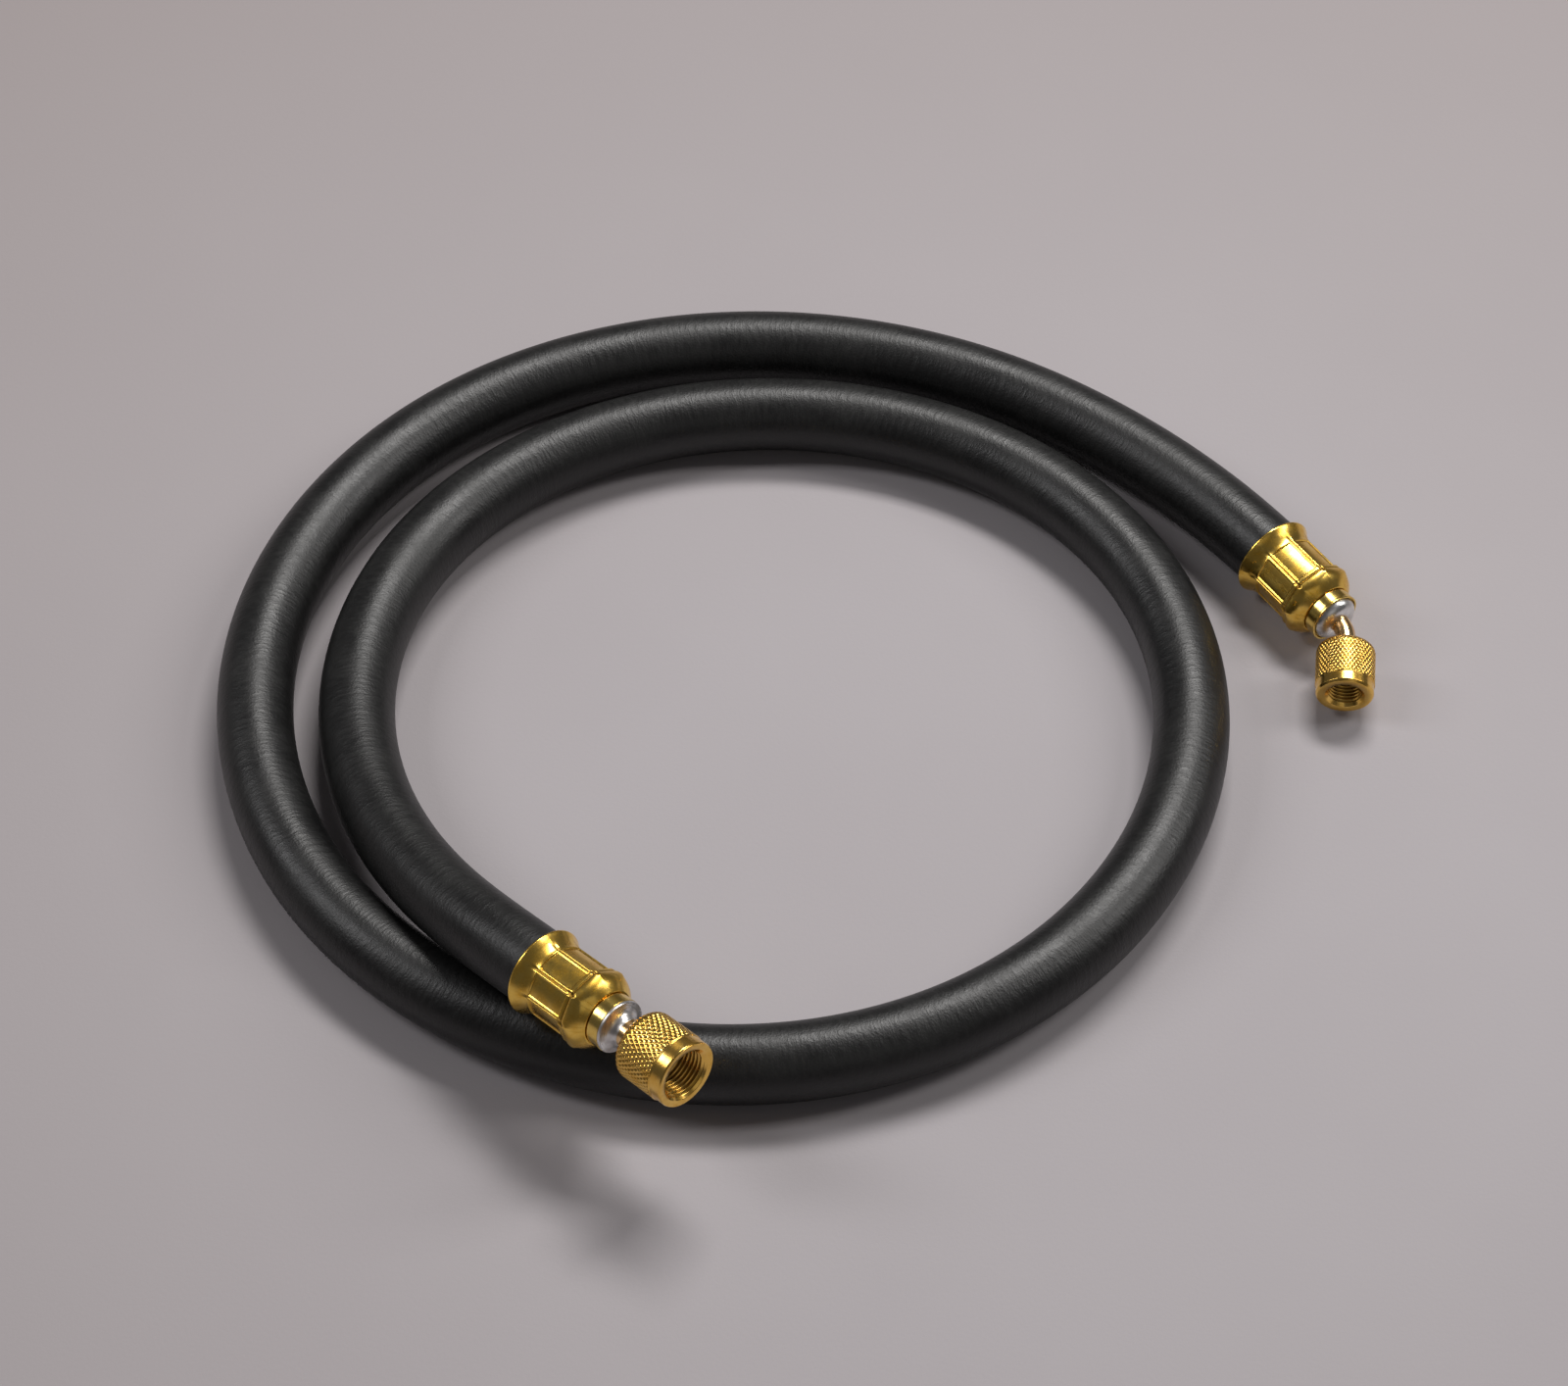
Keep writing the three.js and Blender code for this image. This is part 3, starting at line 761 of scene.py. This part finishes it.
def tube_mesh(end, matrix):
    """The tube as a closed shell: its outside with the flange at the nut end, and back through its bore.

    A point of a ring is the centreline's point plus the radius times the cosine of its angle in the
    plane of the bend and the sine square to it.
    """
    centre, turn, along = tube_points(end)
    count = len(along)
    flange = end["minor"] - 0.2
    outer = np.where(along < along[-1] - end["flange"], end["tube"], flange)
    back = np.array([count - 1, count - 1, *range(count - 1, -1, -4), 0])
    order = np.concatenate([np.arange(count), back])
    bore = np.full(len(back) - 2, end["tube"] - end["wall"])
    radius = np.concatenate([outer, [flange - 0.2, end["tube"]], bore])
    angle = np.linspace(0, TURN, TUBE_COLUMNS, endpoint=False)
    out = np.stack([np.cos(turn), np.zeros_like(turn), -np.sin(turn)], axis=1)
    side = np.array((0.0, 1.0, 0.0))
    ring = np.cos(angle)[None, :, None] * out[order][:, None, :] + np.sin(angle)[None, :, None] * side
    points = (centre[order][:, None, :] + radius[:, None, None] * ring) * MM
    u = np.broadcast_to(angle * end["tube"] * MM, (len(order), TUBE_COLUMNS))
    v = np.broadcast_to(along[order][:, None] * MM, (len(order), TUBE_COLUMNS))
    return grid_mesh("tube_" + end["label"], moved(points, matrix), np.stack([u, v], axis=-1))


def gasket_mesh(end, matrix):
    """The seal: a rectangle with rounded corners carried round the nut's axis, from bore to outside."""
    low = end["back_wall"] + 2 * GAP + end["flange"]
    high = low + end["gasket"]
    inner = end["gasket_bore"]
    outer = end["minor"] - 0.25
    ring = eased([(inner, low), (outer, low), (outer, high), (inner, high)], SEAL_EASE, 4)
    return turned_mesh("gasket_" + end["label"], ring, matrix, SEAL_COLUMNS)


def nut_outline(end):
    """The nut's outline from its back face round its outside, over its rim and down its bore.

    The back is a quarter of an ellipse, and the bore widens at 45 degrees to the mouth. It gives the
    outline, as radius and height, and the number of its first point in the bore.
    """
    knurl_end = end["length"] - end["band"]
    row = TURN * end["nut"] / end["knurls"] / KNURL_STEPS / math.tan(KNURL_LEAN)
    crown = np.linspace(0, math.pi / 2, CROWN_ROWS)
    crown_radius = end["back"] + (end["nut"] - end["back"]) * np.sin(crown)
    crown_height = end["crown"] * (1 - np.cos(crown))
    straight = np.arange(end["crown"] + row, knurl_end, row)
    belt = end["nut"] - end["step"]
    hole = end["tube"] + CLEARANCE
    back = [(hole, 0.0), (end["back"] - 0.5, 0.0)]
    brim = eased([
        (end["nut"], knurl_end), (belt, knurl_end + end["step"]), (belt, end["length"] - end["bevel"]),
        (end["rim"], end["length"]), (end["mouth"], end["length"]),
    ], NUT_EASE, closed=False)
    thread = np.arange(end["length"] - 0.1, end["back_wall"] + 0.6, -end["pitch"] / THREAD_STEPS)
    inside = np.maximum(end["minor"], end["mouth"] - (end["length"] - thread))
    seat = [(end["minor"] + 0.1, end["back_wall"] + 0.3), (end["minor"] + 0.1, end["back_wall"]),
            (hole, end["back_wall"])]
    outline = back + list(zip(crown_radius, crown_height)) + [(end["nut"], z) for z in straight]
    return np.array(outline + list(brim) + list(zip(inside, thread)) + seat), len(outline) + len(brim)


def nut_relief(end, first_inside):
    """Knurl and thread as changes of radius, and how much painted shade each point gets.

    The knurl is two sets of leaning ridges, each a triangle wave, and a point is as high as the higher
    of the two, so that pits are left between them. The thread is a groove, a triangle wave cut flat at
    its top and bottom, that climbs a pitch for each turn. It runs out through the mouth's countersink.
    """
    period = TURN * end["nut"] / end["knurls"]
    knurl_end = end["length"] - end["band"]

    def relief(angle, radius, height):
        row = np.arange(len(radius))[:, None]
        along = angle / TURN * end["knurls"]
        lean = height * math.tan(KNURL_LEAN) / period
        ridges = np.maximum(wave(along + lean), wave(along - lean))
        knurled = (row < first_inside) & (radius > end["back"] - 0.01) & (height > 0.05)
        knurled = knurled & (height < knurl_end - 0.01)
        pit = (1 - ridges) * smooth_step(0, KNURL_START, height)
        climb = wave(height / end["pitch"] - angle / TURN)
        groove = np.clip(1 + THREAD_FLAT - THREAD_HEIGHT * climb, 0, 1)
        run_out = smooth_step(0, THREAD_START, height - end["back_wall"] - THREAD_START)
        cut = end["minor"] + (end["major"] - end["minor"]) * groove * run_out
        threaded = (row >= first_inside) & (row < len(radius) - SEAT_ROWS)
        radius = np.where(knurled, radius - KNURL_DEPTH * pit, radius)
        radius = np.where(threaded, np.maximum(radius, cut), radius)
        # Painted shade in the knurl's pits, and below it in the thread's groove
        pit_shade = np.where(knurled, np.clip(pit * PIT_SHARPNESS - PIT_START, 0, 1), 0)
        return radius, np.where(threaded & (cut >= radius - 0.01), groove, pit_shade)

    return relief


def wave(value):
    """A triangle wave that is 1 at each whole number and 0 halfway between."""
    return np.abs((value % 1) * 2 - 1)


def nut_mesh(end, matrix):
    """The swivel nut, with the same whole number of columns for each knurl."""
    columns = end["knurls"] * KNURL_STEPS
    outline, first_inside = nut_outline(end)
    return turned_mesh("nut_" + end["label"], outline, matrix, columns, nut_relief(end, first_inside))


def fitting_matrix(tip, before, roll):
    """A fitting's frame: origin in the ferrule's mouth, Z out of the hose, X level when the roll is 0."""
    z = (tip - before).normalized()
    level = z.cross(Vector((0, 0, 1))).normalized()
    x = Matrix.Rotation(math.radians(roll), 3, z) @ level
    y = z.cross(x)
    rotation = Matrix((x, y, z)).transposed().to_4x4()
    return Matrix.Translation(tip - z * INSERT * MM) @ rotation


def nut_matrix(end, fitting):
    """A nut's frame: origin in its back face, Z out of its mouth."""
    angle = math.radians(end["bend"])
    corner = Vector((0, 0, COLLAR_END + end["tube_run"]))
    back = corner + Vector((math.sin(angle), 0, math.cos(angle))) * end["after_bend"]
    return fitting @ Matrix.Translation(back * MM) @ Matrix.Rotation(angle, 4, "Y")


def build_fitting(end, matrix, finishes):
    """The six pieces of a fitting, as a list. The nut rides on its own body, the rest on the root."""
    label = end["label"]
    nut_frame = nut_matrix(end, matrix)
    return [
        piece("crimped_ferrule_" + label, ferrule_mesh(end, matrix), finishes["pressed"], "root",
              "ferrule_" + label),
        piece("turned_stem_" + label, stem_mesh(end, matrix), finishes["turned"], "root",
              "stem_" + label),
        piece("solder_joint_" + label, solder_mesh(end, matrix), finishes["solder"], "root",
              "solder_" + label),
        piece("flanged_tube_" + label, tube_mesh(end, matrix), finishes["copper"], "root",
              "tube_" + label),
        piece("seal_ring_" + label, gasket_mesh(end, nut_frame), finishes["seal"], "root",
              "gasket_" + label),
        piece("knurled_nut_" + label, nut_mesh(end, nut_frame), finishes["knurled"], end["body"],
              "nut_" + label),
    ]


def build_hose(finish):
    """The hose along its route, with the points of its centreline and its length."""
    route = ROUTE + (0, 0, HOSE_RADIUS)
    first = route[1] - route[0]
    last = route[-1] - route[-2]
    first = first / np.linalg.norm(first)
    last = last / np.linalg.norm(last)
    path, along = clamped_spline(route, first, last, HOSE_RING)
    made = piece("rubber_hose", hose_mesh(path, along), finish, "root", "hose")
    return made, path, along[-1]


def area_light(name, place, size, energy, colour):
    """A soft box at a place, facing the origin."""
    data = bpy.data.lights.new(name, "AREA")
    data.shape = "RECTANGLE"
    data.size, data.size_y = size
    data.energy = energy
    data.color = colour
    light = bpy.data.objects.new(name, data)
    light.location = place
    light.rotation_euler = (-Vector(place)).to_track_quat("-Z", "Y").to_euler()
    bpy.context.scene.collection.objects.link(light)


def build_studio():
    """A pale paper floor under soft boxes, the strongest behind the hose so that shadows fall forward.

    The Standard view transform keeps the photograph's contrast and the brass's full colour.
    """
    size = FLOOR_HALF
    mesh = bpy.data.meshes.new("paper_floor")
    corners = [(-size, -size, 0), (size, -size, 0), (size, size, 0), (-size, size, 0)]
    mesh.from_pydata(corners, [], [(0, 1, 2, 3)])
    floor = bpy.data.objects.new("paper_floor", mesh)
    mesh.materials.append(paper_finish())
    bpy.context.scene.collection.objects.link(floor)
    for light in LIGHTS:
        area_light(*light)
    bpy.context.scene.view_settings.view_transform = "Standard"
    world = bpy.data.worlds.new("studio_world")
    bpy.context.scene.world = world
    world.use_nodes = True
    background = world.node_tree.nodes["Background"]
    background.inputs["Color"].default_value = WORLD_COLOUR
    background.inputs["Strength"].default_value = WORLD_STRENGTH


def build():
    """Camera, finishes, both fittings, the hose, and the studio."""
    place_camera()
    finishes = {use: brass_finish(*look) for use, look in BRASS.items()}
    finishes.update(copper=copper_finish(), solder=solder_finish(), seal=seal_finish())
    hose, path, length = build_hose(rubber_finish())
    bent_tip, bent_before = Vector(path[0]), Vector(path[3])
    straight_tip, straight_before = Vector(path[-1]), Vector(path[-4])
    bent = build_fitting(BENT, fitting_matrix(bent_tip, bent_before, BENT["bend_roll"]), finishes)
    straight_matrix = fitting_matrix(straight_tip, straight_before, STRAIGHT["bend_roll"])
    build_fitting(STRAIGHT, straight_matrix, finishes)
    build_studio()


build()
